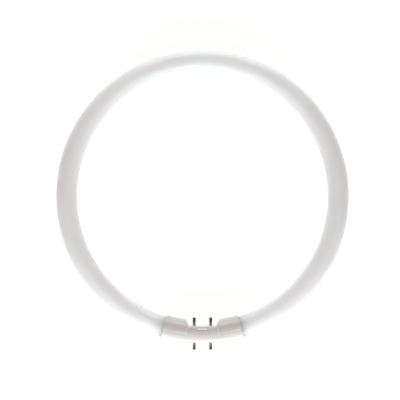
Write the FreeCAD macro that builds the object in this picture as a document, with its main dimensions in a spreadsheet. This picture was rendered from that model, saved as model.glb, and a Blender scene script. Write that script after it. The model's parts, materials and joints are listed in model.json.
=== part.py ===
# Circular fluorescent tube with a four pin cap, in millimetres.
# The origin is the ring's centre in its middle plane. +Z is the ring's axis, the cap stands at -Y,
# and everything is alike above and below the middle plane.
import FreeCAD, Part
import math
import os
import Sketcher
from FreeCAD import Rotation, Vector

document = FreeCAD.newDocument("CircularTube")

sizes = {
    # Glass ring
    "ring_diameter": "225",           # over the outside of the glass
    "tube_diameter": "16",
    "tube_end_setback": "4.5",        # from the waist's end to the closed end of the glass
    "tube_end_round": "4.5",
    "seal_tip_diameter": "2.6",
    "seal_tip_length": "2.4",
    "seal_tip_round": "1.1",
    # Cap: two moulded shells round the tube's ends
    "cap_length": "61.2",             # along the cap's centre line
    "cap_offset": "1.1",              # from the tube's centre line out to the cap's
    "sleeve_clearance": "0.2",        # round the glass, on the side nearest the ring's centre
    "cap_wall": "1.2",
    "waist_length": "21",
    "waist_width": "12.2",
    "inner_shoulder_angle": "28.5",   # from the waist's end to square across
    "outer_shoulder_angle": "39",
    "mouth_round": "0.35",
    "mouth_overrun": "3",             # of the hollow past each mouth
    "waist_round": "1.2",
    "seam_length": "23.6",            # of the waist's panel, between the seam's two steps
    "seam_gap": "0.05",
    "seam_step": "0.2",               # up from the outer shell to the inner one
    "inner_seam_bevel": "0.25",       # along the inner shell's side of the seam
    "outer_seam_bevel": "0.1",
    # Lip at each mouth and ribs behind it that grip the glass
    "lip_thickness": "1.2",
    "rib_thickness": "1.2",
    "rib_pitch": "6",                 # from the lip to the first rib, and on to the next
    "rib_clearance": "0.1",
    # Snap tongues on the waist's front and back
    "tongue_width": "7.5",
    "tongue_reach": "2.2",
    "tongue_proud": "0.6",
    "tongue_sunk": "0.6",
    "tongue_round": "0.8",            # over the panel's edge
    "tongue_ramp": "0.8",             # slope at its end
    "barb_length": "0.5",
    "tongue_clearance": "0.1",
    # Contact pins
    "pin_spacing": "12.7",
    "pin_diameter": "2.35",
    "pin_seat_diameter": "2.8",       # where the pin passes through the wall
    "pin_length": "6.3",              # out of the waist's face
    "pin_bore": "1.3",
    "pin_tip_wall": "0.6",
    "pin_tip_round": "0.55",
    "flange_diameter": "3.8",
    "flange_thickness": "0.6",
    "pin_clearance": "0.05",
    # Lead wires from the glass to the pins
    "wire_diameter": "0.5",
    "wire_spacing": "4",
    "wire_bend": "1",
}

sheet = document.addObject("Spreadsheet::Sheet", "Sizes")
for row, (alias, number) in enumerate(sizes.items(), 1):
    sheet.set(f"A{row}", alias)
    sheet.set(f"B{row}", number)
    sheet.setAlias(f"B{row}", alias)
document.recompute()

# Lengths worked out from the sheet, as expressions
tube_radius = "(Sizes.tube_diameter / 2)"
tube_line = f"(Sizes.ring_diameter / 2 - {tube_radius})"
cap_line = f"({tube_line} + Sizes.cap_offset)"
bore_radius = f"({tube_radius} + Sizes.cap_offset + Sizes.sleeve_clearance)"
sleeve_radius = f"({bore_radius} + Sizes.cap_wall)"        # of the inner shell
panel_radius = f"({sleeve_radius} - Sizes.seam_step)"      # of the outer shell
sleeve_diameter = f"(2 * {sleeve_radius})"
inner_face = f"(-{cap_line} + Sizes.waist_width / 2)"     # Y of the waist's two flat faces
outer_face = f"(-{cap_line} - Sizes.waist_width / 2)"
inner_seat = f"({inner_face} - Sizes.cap_wall)"           # Y of the same walls' inside faces
outer_seat = f"({outer_face} + Sizes.cap_wall)"
cap_angle = f"(Sizes.cap_length / {cap_line} * 180 / pi)"
tube_end_x = "(Sizes.waist_length / 2 + Sizes.tube_end_setback)"
tube_end_angle = f"(asin({tube_end_x} / {tube_line}) / 1 deg)"
end_slope = f"({tube_end_angle} * 1 deg)"
through = f"(2 * {sleeve_diameter})"                       # longer than the cap is thick


def value(expression):
    result = sheet.evalExpression(expression)
    return float(getattr(result, "Value", result))


def near(number, expression):
    return abs(number - value(expression)) < 0.0001


def bind(item, **expressions):
    for name, expression in expressions.items():
        item.setExpression(name, expression)


def place(item, x="0", y="0", z="0"):
    for axis, expression in (("x", x), ("y", y), ("z", z)):
        item.setExpression(f".Placement.Base.{axis}", expression)


def turn_axis(item, x, y):
    item.setExpression(".Placement.Rotation.Axis.x", x)
    item.setExpression(".Placement.Rotation.Axis.y", y)


# Sketches whose points are bound to expressions

def new_sketch(body, name, role):
    plane = next(item for item in body.Origin.OriginFeatures if item.Role == role)
    sketch = body.newObject("Sketcher::SketchObject", name)
    sketch.AttachmentSupport = (plane, "")
    sketch.MapMode = "FlatFace"
    return sketch


def pin_point(sketch, shape, end, x, y):
    for kind, expression in (("DistanceX", x), ("DistanceY", y)):
        index = sketch.addConstraint(Sketcher.Constraint(kind, -1, 1, shape, end, value(expression)))
        sketch.setExpression(f"Constraints[{index}]", expression)


def add_circle(sketch, x, y, radius):
    circle = Part.Circle(Vector(value(x), value(y), 0), Vector(0, 0, 1), value(radius))
    shape = sketch.addGeometry(circle, False)
    pin_point(sketch, shape, 3, x, y)
    index = sketch.addConstraint(Sketcher.Constraint("Radius", shape, value(radius)))
    sketch.setExpression(f"Constraints[{index}]", radius)


def add_outline(sketch, corners):
    points = [Vector(value(x), value(y), 0) for x, y in corners]
    first = sketch.GeometryCount
    for start, end in zip(points, points[1:] + points[:1]):
        sketch.addGeometry(Part.LineSegment(start, end), False)
    for number, (x, y) in enumerate(corners):
        before = first + (number - 1) % len(corners)
        sketch.addConstraint(Sketcher.Constraint("Coincident", before, 2, first + number, 1))
        pin_point(sketch, first + number, 1, x, y)


def revolve(body, name, sketch, angle):
    feature = body.newObject("PartDesign::Revolution", name)
    feature.Profile = sketch
    feature.ReferenceAxis = (sketch, ["V_Axis"])
    feature.Midplane = True
    feature.setExpression("Angle", angle)
    return feature


def round_edges(body, name, base, radius, wanted):
    document.recompute()
    edges = [f"Edge{number}" for number, edge in enumerate(base.Shape.Edges, 1) if wanted(edge)]
    feature = body.newObject("PartDesign::Fillet", name)
    feature.Base = (base, edges)
    feature.setExpression("Radius", radius)
    return feature


# Booleans of whole solids

def combine(kind, name, first, second):
    result = document.addObject(f"Part::{kind}", name)
    result.Base = first
    result.Tool = second
    result.Refine = True
    return result


def fuse(name, solids):
    result = document.addObject("Part::MultiFuse", name)
    result.Shapes = solids
    result.Refine = True
    return result


def add_box(name, half_length, low_y, high_y):
    box = document.addObject("Part::Box", name)
    bind(box, Length=f"2 * {half_length}", Width=f"{high_y} - {low_y}", Height=f"2 * {through}")
    place(box, f"-{half_length}", low_y, f"-{through}")
    return box


def add_ring(name, line, radius):
    ring = document.addObject("Part::Torus", name)
    bind(ring, Radius1=line, Radius2=radius)
    return ring


# Glass ring: one closed tube, rounded at both ends, each with the tip of its seal

def glass_tube():
    body = document.addObject("PartDesign::Body", "tube_body")
    section = new_sketch(body, "tube_section", "YZ_Plane")
    add_circle(section, tube_line, "0", tube_radius)
    ring = revolve(body, "tube_ring", section, f"(360 - 2 * {tube_end_angle}) * 1 deg")
    round_edges(body, "tube_ends", ring, "Sizes.tube_end_round", lambda edge: edge.isClosed())
    pieces = [body]
    for side in (-1, 1):
        tip = document.addObject("PartDesign::Body", "seal_tip")
        outline = new_sketch(tip, "tip_outline", "XZ_Plane")
        add_outline(outline, [
            ("0", "-Sizes.tube_end_round"),
            ("Sizes.seal_tip_diameter / 2", "-Sizes.tube_end_round"),
            ("Sizes.seal_tip_diameter / 2", "Sizes.seal_tip_length"),
            ("0", "Sizes.seal_tip_length"),
        ])
        turned = revolve(tip, "tip_turned", outline, "360 deg")
        round_edges(tip, "tip_round", turned, "Sizes.seal_tip_round",
                    lambda edge: edge.isClosed() and edge.BoundBox.ZMin > 0)
        place(tip, f"{side} * {tube_end_x}", f"-{tube_line} * cos({end_slope})")
        tip.Placement.Rotation = Rotation(Vector(0, 1, 0), 90)
        turn_axis(tip, f"sin({end_slope})", f"-{side} * cos({end_slope})")
        pieces.append(tip)
    return fuse("glass_tube", pieces)


# Cap: a round section bent to the ring, narrowed to a flat-sided waist that carries the pins

def cap_form(name, radius, wall, angle):
    body = document.addObject("PartDesign::Body", name)
    section = new_sketch(body, f"{name}_section", "YZ_Plane")
    add_circle(section, f"-{cap_line}", "0", radius)
    revolve(body, f"{name}_sleeve", section, angle)
    for side, sign, back, face, slope in (
        ("inner", "+", "-", inner_face, "Sizes.inner_shoulder_angle * 1 deg"),
        ("outer", "-", "+", outer_face, "Sizes.outer_shoulder_angle * 1 deg"),
    ):
        floor = f"({face} {back} {wall})"
        far = f"({face} {sign} {sleeve_diameter})"
        near_x = f"(Sizes.waist_length / 2 - {wall} * tan({slope}) + {wall} / cos({slope}))"
        far_x = f"(Sizes.waist_length / 2 + {sleeve_diameter} * tan({slope}) + {wall} / cos({slope}))"
        notch = new_sketch(body, f"{name}_{side}_notch", "XY_Plane")
        add_outline(notch, [(f"-{near_x}", floor), (near_x, floor), (far_x, far), (f"-{far_x}", far)])
        waist = body.newObject("PartDesign::Pocket", f"{name}_{side}_waist")
        waist.Profile = notch
        waist.Type = "ThroughAll"
        waist.Midplane = True
    return body


# The cap's walls: the outer form less its hollow, with a lip left at each mouth and ribs behind it
# to grip the glass

def part_ring(name, side, near_depth, far_depth):
    ring = add_ring(name, cap_line, f"{bore_radius} + Sizes.cap_wall / 2")
    spread = f"(({far_depth} - {near_depth}) / {cap_line} * 180 / pi)"
    middle = f"({cap_angle} / 2 - ({far_depth} + {near_depth}) / 2 / {cap_line} * 180 / pi)"
    ring.setExpression("Angle3", f"{spread} * 1 deg")
    ring.setExpression(".Placement.Rotation.Angle", f"(270 + {side} * {middle} - {spread} / 2) * 1 deg")
    return ring


def grips():
    rings = []
    for side in (-1, 1):
        rings.append(part_ring("mouth_lip", side, "-Sizes.mouth_overrun / 2", "Sizes.lip_thickness"))
        for number in (1, 2):
            depth = f"({number} * Sizes.rib_pitch)"
            rings.append(part_ring("grip_rib", side, depth, f"({depth} + Sizes.rib_thickness)"))
    glass = add_ring("grip_clearance", tube_line, f"{tube_radius} + Sizes.rib_clearance")
    return combine("Cut", "grips", fuse("grip_rings", rings), glass)


def cap_hollow():
    inside = cap_form("cap_inside", bore_radius, "Sizes.cap_wall",
                      f"({cap_angle} + 2 * Sizes.mouth_overrun / {cap_line} * 180 / pi) * 1 deg")
    return combine("Cut", "cap_hollow", inside, grips())


def cap_walls(name, radius, hollow):
    outside = cap_form(f"{name}_outside", radius, "0", f"{cap_angle} * 1 deg")
    round_edges(outside, f"{name}_mouths", outside.Tip, "Sizes.mouth_round", lambda edge: edge.isClosed())
    round_edges(outside, f"{name}_shoulders", outside.Tip, "Sizes.waist_round",
                lambda edge: edge.BoundBox.XLength > 0.1 and edge.BoundBox.ZLength > 0.1
                and abs(edge.CenterOfMass.x) < value("Sizes.waist_length"))
    return combine("Cut", f"{name}_walls", outside, hollow)


# The seam: the sleeves part along their centre line. The waist's front and back panels belong to
# the outer shell, so there the seam steps in to the wall that carries the inner pins. The inner
# shell stands a little proud all along it, with a bevelled edge.

def inner_side(name, radius, reach, step, depth, lean, bevel):
    rim = f"({reach} + {lean} * 2 * {bevel})"
    top = f"({radius} + {bevel})"
    shelf = f"({radius} - {bevel})"
    body = document.addObject("PartDesign::Body", f"{name}_disc")
    outline = new_sketch(body, f"{name}_outline", "XZ_Plane")
    add_outline(outline, [("0", f"-{top}"), (rim, f"-{top}"), (reach, f"-{shelf}"), (reach, shelf),
                          (rim, top), ("0", top)])
    revolve(body, f"{name}_turned", outline, "360 deg")
    panel = add_box(f"{name}_panel", step, f"-2 * {cap_line}", depth)
    return combine("Cut", name, body, panel)


def outside_edges(shape, wanted):
    found = []
    for number, edge in enumerate(shape.Edges, 1):
        middle = edge.valueAt((edge.FirstParameter + edge.LastParameter) / 2)
        from_line = math.hypot(math.hypot(middle.x, middle.y) - value(cap_line), middle.z)
        if from_line > value(sleeve_radius) - value("Sizes.inner_seam_bevel") and wanted(middle):
            found.append(number)
    return found


def dress_edges(kind, name, base, size, wanted):
    document.recompute()
    feature = document.addObject(f"Part::{kind}", name)
    feature.Base = base
    feature.Edges = [(number, value(size), value(size)) for number in outside_edges(base.Shape, wanted)]
    return feature


def pin_holes(name, seat, direction):
    holes = []
    for side in (-1, 1):
        hole = document.addObject("Part::Cylinder", "pin_hole")
        bind(hole, Radius="Sizes.pin_seat_diameter / 2 + Sizes.pin_clearance",
             Height="2 * Sizes.cap_wall")
        place(hole, f"{side} * Sizes.pin_spacing / 2", f"{seat} - {direction} * Sizes.cap_wall / 2")
        hole.Placement.Rotation = Rotation(Vector(1, 0, 0), -direction * 90)
        holes.append(hole)
    return fuse(name, holes)


# Snap tongues: each bends over the edge of the outer shell's panel, lies in a slot in it, slopes
# down at its end and hooks through a window there

def tongue_form(name, clearance):
    tongue_end = f"({inner_face} - Sizes.tongue_reach - {clearance})"
    half_width = f"(Sizes.tongue_width / 2 + {clearance})"
    above = add_ring(f"{name}_top", cap_line, f"{sleeve_radius} + Sizes.tongue_proud + {clearance}")
    below = add_ring(f"{name}_bed", cap_line, f"{sleeve_radius} - Sizes.tongue_sunk - {clearance}")
    core = add_ring(f"{name}_core", cap_line, bore_radius)
    strip = add_box(f"{name}_strip", half_width, tongue_end, inner_face)
    hook = add_box(f"{name}_hook", half_width, tongue_end,
                   f"{tongue_end} + Sizes.barb_length + 2 * {clearance}")
    plate = combine("Common", f"{name}_plate", combine("Cut", f"{name}_layer", above, below), strip)
    barb = combine("Common", f"{name}_barb", combine("Cut", f"{name}_depth", above, core), hook)
    return fuse(name, [plate, barb])


def tongues():
    def top_edge(point, y):
        return near(point.y, y) and not near(abs(point.x), "Sizes.tongue_width / 2")

    form = tongue_form("tongue", "0")
    ramped = dress_edges("Chamfer", "tongue_ramped", form, "Sizes.tongue_ramp",
                         lambda point: top_edge(point, f"{inner_face} - Sizes.tongue_reach"))
    return dress_edges("Fillet", "tongue_bent", ramped, "Sizes.tongue_round",
                       lambda point: top_edge(point, inner_face))


def cap_inner_shell(hollow):
    walls = cap_walls("inner", sleeve_radius, hollow)
    reach = f"({cap_line} - Sizes.seam_gap / 2)"
    step = "(Sizes.seam_length / 2 + Sizes.seam_gap / 2)"
    bevel = "Sizes.inner_seam_bevel"
    zone = inner_side("inner_zone", sleeve_radius, reach, step, inner_seat, -1, bevel)
    half = combine("Common", "inner_half", walls, zone)
    bevelled = dress_edges("Chamfer", "inner_bevelled", half, bevel,
                           lambda point: near(abs(point.x), step) or near(point.y, inner_seat))
    holed = combine("Cut", "inner_holed", bevelled, pin_holes("inner_holes", inner_seat, 1))
    return fuse("cap_inner_shell", [holed, tongues()])


def cap_outer_shell(hollow):
    walls = cap_walls("outer", panel_radius, hollow)
    reach = f"({cap_line} + Sizes.seam_gap / 2)"
    depth = f"({inner_seat} - Sizes.seam_gap)"
    step = "(Sizes.seam_length / 2 - Sizes.seam_gap / 2)"
    openings = fuse("outer_openings", [
        pin_holes("outer_holes", outer_seat, -1),
        tongue_form("slot", "Sizes.tongue_clearance"),
    ])
    bevel = "Sizes.outer_seam_bevel"
    zone = inner_side("outer_zone", panel_radius, reach, step, depth, 1, bevel)
    half = combine("Cut", "outer_half", walls, zone)
    bevelled = dress_edges("Chamfer", "outer_bevelled", half, bevel, lambda point: near(point.y, depth))
    return combine("Cut", "cap_outer_shell", bevelled, openings)


# Contact pins: hollow brass, flanged inside the wall and closed at the tip

def contact_pin(name, side, seat, direction):
    body = document.addObject("PartDesign::Body", name)
    outline = new_sketch(body, f"{name}_outline", "XZ_Plane")
    tip = "(Sizes.cap_wall + Sizes.pin_length)"
    bore = "(Sizes.pin_bore / 2)"
    add_outline(outline, [
        (bore, "-Sizes.flange_thickness"),
        ("Sizes.flange_diameter / 2", "-Sizes.flange_thickness"),
        ("Sizes.flange_diameter / 2", "0"),
        ("Sizes.pin_seat_diameter / 2", "0"),
        ("Sizes.pin_seat_diameter / 2", "Sizes.cap_wall"),
        ("Sizes.pin_diameter / 2", "Sizes.cap_wall"),
        ("Sizes.pin_diameter / 2", tip),
        ("0", tip),
        ("0", f"{tip} - Sizes.pin_tip_wall"),
        (bore, f"{tip} - Sizes.pin_tip_wall"),
    ])
    turned = revolve(body, f"{name}_turned", outline, "360 deg")
    round_edges(body, f"{name}_tip", turned, "Sizes.pin_tip_round",
                lambda edge: edge.isClosed() and edge.BoundBox.ZMin > value(tip) - 0.001)
    place(body, f"{side} * Sizes.pin_spacing / 2", seat)
    body.Placement.Rotation = Rotation(Vector(1, 0, 0), -direction * 90)
    return body


# Lead wires: straight out of the glass, round one bend and up the pin to its closed tip

def left_wire(name, seat, direction):
    start_line = f"({tube_line} - {direction} * Sizes.wire_spacing / 2)"
    start_x = f"(-{start_line} * sin({end_slope}))"
    start_y = f"(-{start_line} * cos({end_slope}))"
    pin_x = "(-Sizes.pin_spacing / 2)"
    corner_y = f"({start_y} - ({pin_x} - {start_x}) * tan({end_slope}))"
    setback = f"(Sizes.wire_bend * tan((90 deg + {direction} * {end_slope}) / 2))"
    bend_x = f"({pin_x} - {setback} * cos({end_slope}))"
    bend_y = f"({corner_y} + {setback} * sin({end_slope}))"
    rise_y = f"({corner_y} + {direction} * {setback})"
    end_y = f"({seat} + {direction} * (Sizes.cap_wall + Sizes.pin_length - Sizes.pin_tip_wall))"

    path = document.addObject("Sketcher::SketchObject", f"{name}_path")
    centre = Vector(value(pin_x) - value("Sizes.wire_bend"), value(rise_y), 0)
    circle = Part.Circle(centre, Vector(0, 0, 1), value("Sizes.wire_bend"))
    turn = math.radians(90 + direction * value(tube_end_angle))
    span = (-turn, 0) if direction > 0 else (0, turn)
    corners = [Vector(value(x), value(y), 0) for x, y in
               ((start_x, start_y), (bend_x, bend_y), (pin_x, rise_y), (pin_x, end_y))]
    path.addGeometry(Part.LineSegment(corners[0], corners[1]), False)
    path.addGeometry(Part.ArcOfCircle(circle, *span), False)
    path.addGeometry(Part.LineSegment(corners[2], corners[3]), False)
    low, high = (1, 2) if direction > 0 else (2, 1)
    path.addConstraint(Sketcher.Constraint("Coincident", 0, 2, 1, low))
    path.addConstraint(Sketcher.Constraint("Coincident", 1, high, 2, 1))
    pin_point(path, 0, 1, start_x, start_y)
    pin_point(path, 0, 2, bend_x, bend_y)
    pin_point(path, 2, 1, pin_x, rise_y)
    pin_point(path, 2, 2, pin_x, end_y)
    index = path.addConstraint(Sketcher.Constraint("Radius", 1, value("Sizes.wire_bend")))
    path.setExpression(f"Constraints[{index}]", "Sizes.wire_bend")

    section = document.addObject("Part::Circle", f"{name}_section")
    section.setExpression("Radius", "Sizes.wire_diameter / 2")
    place(section, pin_x, end_y)
    section.Placement.Rotation = Rotation(Vector(1, 0, 0), 90)
    wire = document.addObject("Part::Sweep", name)
    wire.Sections = [section]
    wire.Spine = (path, ["Edge1", "Edge2", "Edge3"])
    wire.Solid = True
    wire.Frenet = True
    return wire


def mirrored(name, source):
    copy = document.addObject("Part::Mirroring", name)
    copy.Source = source
    copy.Normal = Vector(1, 0, 0)
    return copy


hollow = cap_hollow()
parts = [glass_tube(), cap_outer_shell(hollow), cap_inner_shell(hollow)]
for place_name, seat, direction in (("inner", inner_seat, 1), ("outer", outer_seat, -1)):
    for side_name, side in (("left", -1), ("right", 1)):
        parts.append(contact_pin(f"{place_name}_pin_{side_name}", side, seat, direction))
    wire = left_wire(f"{place_name}_wire_left", seat, direction)
    parts += [wire, mirrored(f"{place_name}_wire_right", wire)]
document.recompute()

failed = [item.Label for item in document.Objects if {"Invalid", "Error"} & set(item.State)]
if failed:
    raise RuntimeError(f"did not build: {failed}")
os.makedirs("parts", exist_ok=True)
for part in parts:
    shape = part.Shape
    if shape.isNull() or not shape.isValid():
        raise RuntimeError(f"bad shape: {part.Label}")
    shape.exportStep(f"parts/{part.Label}.step")
    box = shape.optimalBoundingBox(False)
    print(part.Label, len(shape.Solids), round(shape.Volume, 2),
          [round(number, 2) for number in (box.XMin, box.XMax, box.YMin, box.YMax, box.ZMin, box.ZMax)])
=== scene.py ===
# Circular fluorescent tube on a pale table, seen from straight above
import json
import math
import bpy
import numpy as np
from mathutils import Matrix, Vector


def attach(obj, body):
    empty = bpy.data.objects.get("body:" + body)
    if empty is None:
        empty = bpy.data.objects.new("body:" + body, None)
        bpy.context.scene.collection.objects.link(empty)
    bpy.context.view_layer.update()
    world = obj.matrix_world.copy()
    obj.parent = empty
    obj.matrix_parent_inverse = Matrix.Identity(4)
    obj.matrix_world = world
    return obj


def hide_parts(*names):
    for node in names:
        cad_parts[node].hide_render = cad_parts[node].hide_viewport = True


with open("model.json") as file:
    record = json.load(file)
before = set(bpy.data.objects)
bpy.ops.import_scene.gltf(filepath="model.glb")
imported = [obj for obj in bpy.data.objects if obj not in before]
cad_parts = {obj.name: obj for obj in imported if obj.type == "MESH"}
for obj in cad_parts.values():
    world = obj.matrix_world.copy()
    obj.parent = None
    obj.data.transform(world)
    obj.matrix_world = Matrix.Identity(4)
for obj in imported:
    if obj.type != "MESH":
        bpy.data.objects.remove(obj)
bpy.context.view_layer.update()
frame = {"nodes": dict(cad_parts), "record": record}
print("frame loaded:", len(frame["nodes"]), "nodes")

mm = 0.001


# Mesh helpers. Points are in millimetres until they reach the mesh

def gridFaces(rows, columns):
    # Quads between neighbouring rows of points; each row closes on itself
    i, j = np.meshgrid(np.arange(rows - 1), np.arange(columns), indexing="ij")
    here, there = i * columns, (i + 1) * columns
    nextJ = (j + 1) % columns
    return np.stack([here + j, here + nextJ, there + nextJ, there + j], axis=-1).reshape(-1, 4)


def poleFaces(pole, rowStart, columns, facingBack):
    # Triangles from one point to every side of a row
    j = np.arange(columns)
    first, second = rowStart + j, rowStart + (j + 1) % columns
    if facingBack:
        first, second = second, first
    return np.stack([np.full(columns, pole), first, second], axis=-1)


def closedSurface(grid, firstPole, lastPole):
    # A grid of rows closed by a point at each end: points, quads, triangles
    rows, columns = grid.shape[:2]
    count = rows * columns
    points = np.concatenate([grid.reshape(-1, 3), [firstPole, lastPole]])
    fans = [poleFaces(count, 0, columns, True),
            poleFaces(count + 1, count - columns, columns, False)]
    return points, gridFaces(rows, columns), np.concatenate(fans)


def makeMesh(name, points, faces, sharpDegrees=40, fields=None):
    # faces is a list of index arrays, three or four corners wide; fields are numbers kept on the points
    mesh = bpy.data.meshes.new(name)
    flat = np.concatenate([part.ravel() for part in faces]).astype(np.int32)
    counts = np.concatenate([np.full(len(part), part.shape[1]) for part in faces]).astype(np.int32)
    starts = np.concatenate([[0], np.cumsum(counts)[:-1]]).astype(np.int32)
    mesh.vertices.add(len(points))
    mesh.vertices.foreach_set("co", (np.asarray(points) * mm).astype(np.float32).ravel())
    mesh.loops.add(len(flat))
    mesh.loops.foreach_set("vertex_index", flat)
    mesh.polygons.add(len(counts))
    mesh.polygons.foreach_set("loop_start", starts)
    mesh.polygons.foreach_set("loop_total", counts)
    for field, numbers in (fields or {}).items():
        layer = mesh.attributes.new(field, "FLOAT", "POINT")
        layer.data.foreach_set("value", np.asarray(numbers, np.float32).ravel())
    mesh.update(calc_edges=True)
    mesh.validate()
    mesh.polygons.foreach_set("use_smooth", np.ones(len(counts), bool))
    mesh.set_sharp_from_angle(angle=math.radians(sharpDegrees))
    piece = bpy.data.objects.new(name, mesh)
    bpy.context.scene.collection.objects.link(piece)
    return piece


def cornerArc(centreAlong, centreOut, radius, fromDegrees, toDegrees, steps):
    # A quarter of a circle in a profile of (distance along, distance out)
    turn = np.radians(np.linspace(fromDegrees, toDegrees, steps))
    along, out = centreAlong + radius * np.cos(turn), centreOut + radius * np.sin(turn)
    return np.stack([along, out], axis=-1)


# Material helpers. A tree is a material's node tree, a factor a socket with numbers from 0 to 1

def newMaterial(name):
    material = bpy.data.materials.new(name)
    material.use_nodes = True
    tree = material.node_tree
    return material, tree, tree.nodes["Principled BSDF"]


def setInputs(shader, numbers):
    for socket, number in numbers.items():
        shader.inputs[socket].default_value = number


def objectCoords(tree):
    return tree.nodes.new("ShaderNodeTexCoord").outputs["Object"]


def mottle(tree, scale):
    # Cloudy noise, with about scale clouds to the metre
    noise = tree.nodes.new("ShaderNodeTexNoise")
    noise.inputs["Scale"].default_value = scale
    noise.inputs["Detail"].default_value = 4.0
    tree.links.new(objectCoords(tree), noise.inputs["Vector"])
    return noise.outputs["Fac"]


def fieldValue(tree, field):
    reader = tree.nodes.new("ShaderNodeAttribute")
    reader.attribute_name = field
    return reader.outputs["Fac"]


def mottledColour(tree, scale, first, second):
    # One colour where the noise is low, the other where it is high
    ramp = tree.nodes.new("ShaderNodeValToRGB")
    for stop, position, colour in zip(ramp.color_ramp.elements, (0.3, 0.7), (first, second)):
        stop.position = position
        stop.color = (*colour, 1)
    tree.links.new(mottle(tree, scale), ramp.inputs["Fac"])
    return ramp.outputs["Color"]


def blendColours(tree, factor, first, second):
    # From the first colour at 0 to the second at 1; the second may be a plain colour
    blend = tree.nodes.new("ShaderNodeMix")
    blend.data_type = "RGBA"
    tree.links.new(factor, blend.inputs["Factor"])
    tree.links.new(first, blend.inputs["A"])
    if isinstance(second, tuple):
        blend.inputs["B"].default_value = (*second, 1)
    else:
        tree.links.new(second, blend.inputs["B"])
    return blend.outputs["Result"]


def rangeBetween(tree, factor, low, high, fromLow=0.0, fromHigh=1.0):
    # low while the factor is up to fromLow, rising or falling to high at fromHigh
    spread = tree.nodes.new("ShaderNodeMapRange")
    spread.inputs["From Min"].default_value = fromLow
    spread.inputs["From Max"].default_value = fromHigh
    spread.inputs["To Min"].default_value = low
    spread.inputs["To Max"].default_value = high
    tree.links.new(factor, spread.inputs["Value"])
    return spread.outputs["Result"]


def calculate(tree, operation, first, second=None, clamp=False):
    # One sum on two values, each a socket or a plain number
    step = tree.nodes.new("ShaderNodeMath")
    step.operation = operation
    step.use_clamp = clamp
    for socket, value in zip(step.inputs, (first, second)):
        if isinstance(value, (int, float)):
            socket.default_value = value
        elif value is not None:
            tree.links.new(value, socket)
    return step.outputs["Value"]


def bandAround(tree, value, centre, half, soft):
    # 1 within half less soft of the centre, fading to 0 at half, where those three are millimetres
    # and the value is metres: (half - |value - centre|) / soft, held between 0 and 1
    away = calculate(tree, "ABSOLUTE", calculate(tree, "SUBTRACT", value, centre * mm))
    left = calculate(tree, "SUBTRACT", half * mm, away)
    return calculate(tree, "DIVIDE", left, soft * mm, clamp=True)


def roughen(tree, shader, scale, low, high):
    tree.links.new(rangeBetween(tree, mottle(tree, scale), low, high), shader.inputs["Roughness"])


def addBump(tree, shader, scale, strength, depth):
    # A fine uneven surface, depth in metres
    bump = tree.nodes.new("ShaderNodeBump")
    bump.inputs["Strength"].default_value = strength
    bump.inputs["Distance"].default_value = depth
    tree.links.new(mottle(tree, scale), bump.inputs["Height"])
    tree.links.new(bump.outputs["Normal"], shader.inputs["Normal"])


# Glass: a tube bent to a ring, with a white coating on its inside

glass = {
    "ringRadius": 112.5,                # over the outside
    "tubeRadius": 8.0,
    "endX": 15.0,                       # from the cap's middle to each closed end
    "endRound": 4.5,
    "tipRadius": 1.3,                   # of the seal's tip on each end
    "tipLength": 2.4,
    "tipRound": 1.1,
    "tipFillet": 0.5,
    "arcSteps": (8, 6, 16),             # over the tip, its fillet and the closed end
    "ringSteps": 720,
    "roundSteps": 72,
    "cloudScale": 45,                   # clouds in the coating, per metre
    "thin": (0.682, 0.678, 0.67),       # where the coating is thinner
    "thick": (0.707, 0.703, 0.695),
    "roughness": (400, 0.45, 0.6),      # spots per metre, least, most
    "bump": (900, 0.05, 0.0002),        # grains per metre, strength, depth in metres
    "surface": {
        "Subsurface Weight": 1.0,
        "Subsurface Radius": (1.0, 1.0, 1.0),
        "Subsurface Scale": 0.03,       # how far light spreads in the coated tube, metres
        "Coat Weight": 0.3,
        "Coat Roughness": 0.06,
    },
}


def glassProfile():
    # Distance along the ring from one closed end, and distance out from the tube's centre line
    radius, corner, tip = glass["tubeRadius"], glass["endRound"], glass["tipRadius"]
    fillet, tipRound, tipLength = glass["tipFillet"], glass["tipRound"], glass["tipLength"]
    tipSteps, filletSteps, endSteps = glass["arcSteps"]
    return np.concatenate([
        cornerArc(tipRound - tipLength, tip - tipRound, tipRound, 180, 90, tipSteps),
        cornerArc(-fillet, tip + fillet, fillet, -90, 0, filletSteps),
        cornerArc(corner, radius - corner, corner, 180, 90, endSteps),
    ])


def glassRing():
    # Each profile point (s, rho) is carried round the ring: its centre lies on the ring's circle at
    # distance s, or on the straight line that goes on from an end, and it stands rho out from there at
    # angle v round the tube
    line = glass["ringRadius"] - glass["tubeRadius"]
    endAngle = math.asin(glass["endX"] / line)
    whole = (2 * math.pi - 2 * endAngle) * line
    start = glassProfile()
    middle = np.linspace(start[-1, 0], whole - start[-1, 0], glass["ringSteps"])[1:-1]
    body = np.stack([middle, np.full_like(middle, glass["tubeRadius"])], axis=-1)
    finish = np.stack([whole - start[::-1, 0], start[::-1, 1]], axis=-1)
    along, out = np.concatenate([start, body, finish]).T
    held = np.clip(along, 0, whole)
    angle = endAngle + held / line
    flat = np.zeros_like(angle)
    ahead = np.stack([np.cos(angle), np.sin(angle), flat], axis=-1)
    outward = np.stack([np.sin(angle), -np.cos(angle), flat], axis=-1)
    centre = line * outward + (along - held)[:, None] * ahead
    turn = np.linspace(0, 2 * math.pi, glass["roundSteps"], endpoint=False)[None, :, None]
    upward = np.array([0, 0, 1.0])
    around = np.cos(turn) * outward[:, None] - np.sin(turn) * upward
    grid = centre[:, None] + out[:, None, None] * around
    points, quads, fans = closedSurface(grid, centre[0], centre[-1])
    piece = makeMesh("glassRing", points, [quads, fans])
    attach(piece, "root")
    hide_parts("glass_tube")
    return piece


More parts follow.
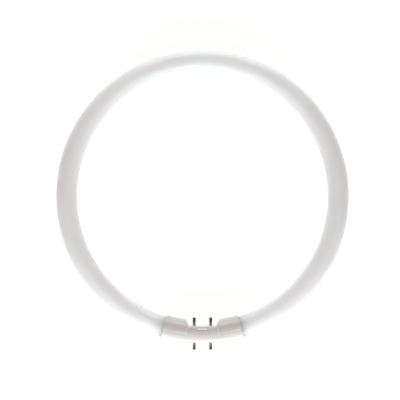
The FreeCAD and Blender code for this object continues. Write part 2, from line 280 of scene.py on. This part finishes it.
def coatedGlass():
    material, tree, shader = newMaterial("coatedGlass")
    clouds = mottledColour(tree, glass["cloudScale"], glass["thin"], glass["thick"])
    tree.links.new(clouds, shader.inputs["Base Color"])
    setInputs(shader, glass["surface"])
    roughen(tree, shader, *glass["roughness"])
    addBump(tree, shader, *glass["bump"])
    return material


# Cap: the two moulded shells are the frame's own, given their plastic

cap = {
    "cloudScale": 90,
    "dark": (0.745, 0.70, 0.672),
    "light": (0.78, 0.735, 0.705),
    "seamHighlightColour": (0.96, 0.945, 0.93),       # painted highlight along the seam's edges, where they catch the light
    "stepX": 11.95,                     # the seam's steps on the front and back
    "stepY": -103.2,                    # their middle
    "stepHalf": 2.8,
    "seamRadius": 105.4,                # of the seam round the sleeves
    "seamHighlightHalf": 0.5,                   # half the width of a painted highlight line
    "seamHighlightSoft": 0.25,
    "sleeveHighlight": 0.5,                 # strength of the painted highlight along the sleeves
    "roughness": (700, 0.28, 0.4),
    "bump": (2500, 0.08, 0.0001),
    "surface": {
        "Subsurface Weight": 0.3,
        "Subsurface Radius": (1.0, 0.9, 0.85),
        "Subsurface Scale": 0.001,
    },
}


def paintedSeamHighlight(tree):
    # Mask of a painted highlight, where the seam's edges catch the light
    # The larger of two bands: along the steps' lines, where |x| is stepX, and along the sleeves
    # outside them, where the root of x squared plus y squared is seamRadius
    split = tree.nodes.new("ShaderNodeSeparateXYZ")
    tree.links.new(objectCoords(tree), split.inputs["Vector"])
    x, y = split.outputs["X"], split.outputs["Y"]
    across = calculate(tree, "ABSOLUTE", x)
    xx, yy = (calculate(tree, "MULTIPLY", value, value) for value in (x, y))
    radius = calculate(tree, "SQRT", calculate(tree, "ADD", xx, yy))
    half, soft = cap["seamHighlightHalf"], cap["seamHighlightSoft"]
    onLine = bandAround(tree, across, cap["stepX"], half, soft)
    onStep = bandAround(tree, y, cap["stepY"], cap["stepHalf"], soft)
    onCircle = bandAround(tree, radius, cap["seamRadius"], half, soft)
    onSleeve = calculate(tree, "GREATER_THAN", across, cap["stepX"] * mm)
    step = calculate(tree, "MULTIPLY", onLine, onStep)
    sleeve = calculate(tree, "MULTIPLY", onCircle, onSleeve)
    return calculate(tree, "MAXIMUM", step, calculate(tree, "MULTIPLY", sleeve, cap["sleeveHighlight"]))


def mouldedPlastic():
    material, tree, shader = newMaterial("mouldedPlastic")
    body = mottledColour(tree, cap["cloudScale"], cap["dark"], cap["light"])
    # The seam's edges are painted paler: a painted highlight where they catch the light
    tree.links.new(blendColours(tree, paintedSeamHighlight(tree), body, cap["seamHighlightColour"]), shader.inputs["Base Color"])
    setInputs(shader, cap["surface"])
    roughen(tree, shader, *cap["roughness"])
    addBump(tree, shader, *cap["bump"])
    return material


# Contact pins: hollow brass, flanged inside the cap's wall, with a staked tip

pin = {
    "halfSpacing": 6.35,
    "radius": 1.175,
    "seatRadius": 1.4,                  # where it passes through the wall
    "flangeRadius": 1.9,
    "flangeThickness": 0.6,
    "bevel": 0.12,
    "boreRadius": 0.65,
    "wall": 1.2,                        # of the cap
    "length": 6.3,
    "tipWall": 0.6,
    "tipRound": 0.55,
    "innerSeat": -100.7,                # Y of the wall's inside face, inner pins then outer pins
    "outerSeat": -110.5,
    "dentDepth": 0.16,                  # of the two staking marks
    "dentDrop": 1.5,                    # from the tip to their middle
    "dentLength": 0.45,
    "dentWidth": 0.12,                  # of the bell of angle, in 1 - |sin|
    "shankSteps": 22,
    "tipSteps": 9,
    "roundSteps": 48,
    "foot": (900, (0.48, 0.472, 0.40), (0.60, 0.59, 0.50)),     # clouds per metre, two colours
    "shank": (600, (0.19, 0.18, 0.12), (0.28, 0.265, 0.175)),
    "tip": (900, (0.09375, 0.096, 0.075), (0.125, 0.128, 0.10)),
    "footFade": (0.25, 0.6),            # where one colour gives way to the next, as a share of height
    "tipFade": (0.6, 0.85),
    "roughness": (1200, 0.3, 0.5),
    "bump": (3000, 0.1, 0.00003),
}


def pinProfile():
    # Height over the wall's inside face, and distance out, from the bore's closed end round to the tip
    wall, bevel, corner = pin["wall"], pin["bevel"], pin["tipRound"]
    bottom, edge = -pin["flangeThickness"], pin["flangeRadius"]
    tip = wall + pin["length"]
    turned = np.array([
        [tip - pin["tipWall"], pin["boreRadius"]],
        [bottom, pin["boreRadius"]],
        [bottom, edge - bevel],
        [bottom + bevel, edge],
        [-bevel, edge],
        [0, edge - bevel],
        [0, pin["seatRadius"]],
        [wall - bevel, pin["seatRadius"]],
        [wall, pin["seatRadius"] - bevel],
        [wall, pin["radius"]],
    ])
    height = np.linspace(wall, tip - corner, pin["shankSteps"] + 2)[1:-1]
    shank = np.stack([height, np.full_like(height, pin["radius"])], axis=-1)
    end = cornerArc(tip - corner, pin["radius"] - corner, corner, 90, 0, pin["tipSteps"])
    return np.concatenate([turned, shank, end])


def contactPin(name, side, seat, direction):
    # The profile turned about the pin's axis; near the tip the radius dips in a smooth hollow on the
    # front and on the back: radius less depth times a bell of height times a bell of angle
    height, out = pinProfile().T
    turn = np.linspace(0, 2 * math.pi, pin["roundSteps"], endpoint=False)
    tip = pin["wall"] + pin["length"]
    outside = (height > pin["wall"]) & (out > pin["boreRadius"])
    drop = (height - (tip - pin["dentDrop"])) / pin["dentLength"]
    spread = (1 - np.abs(np.sin(turn))) / pin["dentWidth"]
    bell = np.exp(-drop ** 2)[:, None] * np.exp(-spread ** 2)[None, :]
    radius = out[:, None] - pin["dentDepth"] * bell * outside[:, None]
    middle = side * pin["halfSpacing"]
    x = middle - direction * radius * np.cos(turn)
    y = np.broadcast_to((seat + direction * height)[:, None], radius.shape)
    grid = np.stack([x, y, radius * np.sin(turn)], axis=-1)
    poles = [[middle, seat + direction * end, 0] for end in (height[0], tip)]
    points, quads, fans = closedSurface(grid, *poles)
    rise = np.append(np.repeat(height, pin["roundSteps"]), [height[0], tip]) / tip
    piece = makeMesh(name, points, [quads, fans], sharpDegrees=35, fields={"rise": rise})
    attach(piece, "root")
    return piece


def dullBrass():
    material, tree, shader = newMaterial("dullBrass")
    rise = fieldValue(tree, "rise")
    foot, shank, tip = (mottledColour(tree, *pin[zone]) for zone in ("foot", "shank", "tip"))
    lower = blendColours(tree, rangeBetween(tree, rise, 0, 1, *pin["footFade"]), foot, shank)
    whole = blendColours(tree, rangeBetween(tree, rise, 0, 1, *pin["tipFade"]), lower, tip)
    tree.links.new(whole, shader.inputs["Base Color"])
    shader.inputs["Metallic"].default_value = 1.0
    roughen(tree, shader, *pin["roughness"])
    addBump(tree, shader, *pin["bump"])
    return material


# Lead wires inside the cap, the frame's own

wire = {
    "cloudScale": 900,
    "dull": (0.45, 0.44, 0.42),
    "bright": (0.62, 0.61, 0.6),
    "roughness": (1500, 0.25, 0.4),
}


def drawnWire():
    material, tree, shader = newMaterial("drawnWire")
    metal = mottledColour(tree, wire["cloudScale"], wire["dull"], wire["bright"])
    tree.links.new(metal, shader.inputs["Base Color"])
    shader.inputs["Metallic"].default_value = 1.0
    roughen(tree, shader, *wire["roughness"])
    return material


finishes = {
    "coated_glass": coatedGlass(),
    "white_cap": mouldedPlastic(),
    "brass_pin": dullBrass(),
    "lead_wire": drawnWire(),
}
print("materials made:", len(finishes))

for part in frame["record"]["subparts"]:
    mesh = frame["nodes"][part["node"]].data
    mesh.materials.clear()
    mesh.materials.append(finishes[part["material_slot"]])

glassRing().data.materials.append(finishes["coated_glass"])
for row, seat, direction in (("inner", pin["innerSeat"], 1), ("outer", pin["outerSeat"], -1)):
    for word, side in (("Left", -1), ("Right", 1)):
        piece = contactPin(f"{row}Pin{word}", side, seat, direction)
        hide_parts(f"{row}_pin_{word.lower()}")
        piece.data.materials.append(finishes["brass_pin"])
print("glass and pins made")


# Table, lights and camera, in metres

stage = {
    "tableSize": 30.0,
    "tableZ": -0.0105,
    "cloudScale": 2,
    "tableDark": (0.35, 0.35, 0.35),
    "tableLight": (0.37, 0.37, 0.37),
    "tableSurface": {
        "Roughness": 0.8,
        "Specular IOR Level": 0.2,
        "Emission Color": (1, 1, 1, 1),
        "Emission Strength": 0.81,
    },
    "lightReach": 1.05,
    "lightSize": (1.2, 0.35),
    "lights": (                         # name, watts, tint, degrees round from +X, degrees up
        ("lowFront", 10.8, (0.89, 1.0, 1.06), -90, 25),
        ("highFront", 2.8, (0.95, 1.0, 1.0), -90, 60),
        ("lowBack", 7.4, (0.89, 1.0, 1.06), 90, 14),
    ),
    "fill": (1.0, 0.57, 0.40),          # warm light from all round
    "fillStrength": 0.165,
    "cameraPlace": (-0.00189, -0.00285, 1.1),
    "lens": 128.7,                      # millimetres, as is the sensor's width
    "sensorWidth": 36,
}


def makeTable():
    half, z = stage["tableSize"] / 2, stage["tableZ"]
    corners = np.array([[-half, -half, z], [half, -half, z], [half, half, z], [-half, half, z]]) / mm
    table = makeMesh("table", corners, [np.array([[0, 1, 2, 3]])])
    material, tree, shader = newMaterial("paleTable")
    clouds = mottledColour(tree, stage["cloudScale"], stage["tableDark"], stage["tableLight"])
    tree.links.new(clouds, shader.inputs["Base Color"])
    setInputs(shader, stage["tableSurface"])
    table.data.materials.append(material)


def makeLight(name, power, tint, azimuth, rise):
    lamp = bpy.data.lights.new(name, "AREA")
    lamp.shape = "RECTANGLE"
    lamp.size, lamp.size_y = stage["lightSize"]
    lamp.energy = power
    lamp.color = tint
    holder = bpy.data.objects.new(name, lamp)
    across, up = math.radians(azimuth), math.radians(rise)
    level = math.cos(up)
    outward = Vector((level * math.cos(across), level * math.sin(across), math.sin(up)))
    holder.location = stage["lightReach"] * outward
    holder.rotation_euler = (-outward).to_track_quat("-Z", "Y").to_euler()
    bpy.context.scene.collection.objects.link(holder)


def makeWorld():
    world = bpy.data.worlds.new("studio")
    world.use_nodes = True
    background = world.node_tree.nodes["Background"]
    background.inputs["Color"].default_value = (*stage["fill"], 1)
    background.inputs["Strength"].default_value = stage["fillStrength"]
    bpy.context.scene.world = world


def makeCamera():
    lens = bpy.data.cameras.new("camera")
    lens.sensor_width = stage["sensorWidth"]
    lens.lens = stage["lens"]
    camera = bpy.data.objects.new("camera", lens)
    camera.location = stage["cameraPlace"]
    bpy.context.scene.collection.objects.link(camera)
    bpy.context.scene.camera = camera


makeTable()
for light in stage["lights"]:
    makeLight(*light)
makeWorld()
makeCamera()
bpy.context.scene.view_settings.view_transform = "Standard"
print("stage set")
